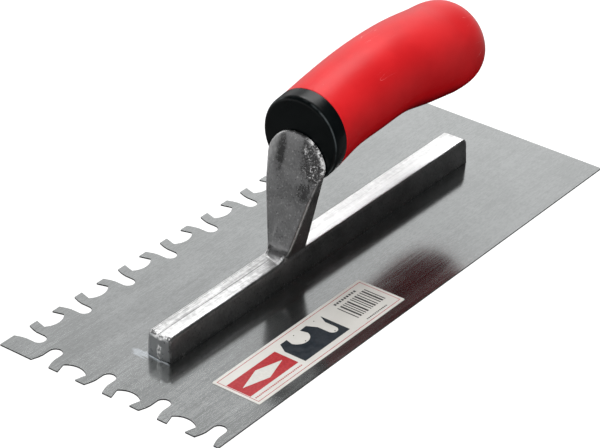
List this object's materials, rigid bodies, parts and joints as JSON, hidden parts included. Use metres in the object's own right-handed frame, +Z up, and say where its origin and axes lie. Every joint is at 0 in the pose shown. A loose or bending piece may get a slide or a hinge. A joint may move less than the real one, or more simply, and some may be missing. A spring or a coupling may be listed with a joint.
{
  "type": "notched trowel",
  "caption": "Flat rectangular steel trowel with one long side and the toe notched, on a cast bar and post with a curved soft-grip handle.",
  "frame": {"origin": "middle of the blade's underside", "axes": "+X along the blade towards the notched toe, -Y towards the notched long side, +Z up through the handle"},
  "size_m": [0.2794, 0.1142, 0.0894],
  "materials": {
    "blade_steel": "fine brushed lines along the blade's length",
    "cast_aluminium": "tumbled die casting with slight mottling and bright rubbed edges",
    "rivet_steel": "ground flush with the blade",
    "core_plastic": "satin moulded black",
    "grip_rubber": "satin red soft-touch moulding",
    "label_paper": null
  },
  "bodies": {
    "root": {"blade": "blade_steel", "mounting": "cast_aluminium", "handle_core": "core_plastic", "grip": "grip_rubber", "label": "label_paper", "rivet_1": "rivet_steel", "rivet_2": "rivet_steel", "rivet_3": "rivet_steel", "rivet_4": "rivet_steel", "rivet_5": "rivet_steel", "rivet_6": "rivet_steel", "rivet_7": "rivet_steel"}
  },
  "joints": []
}
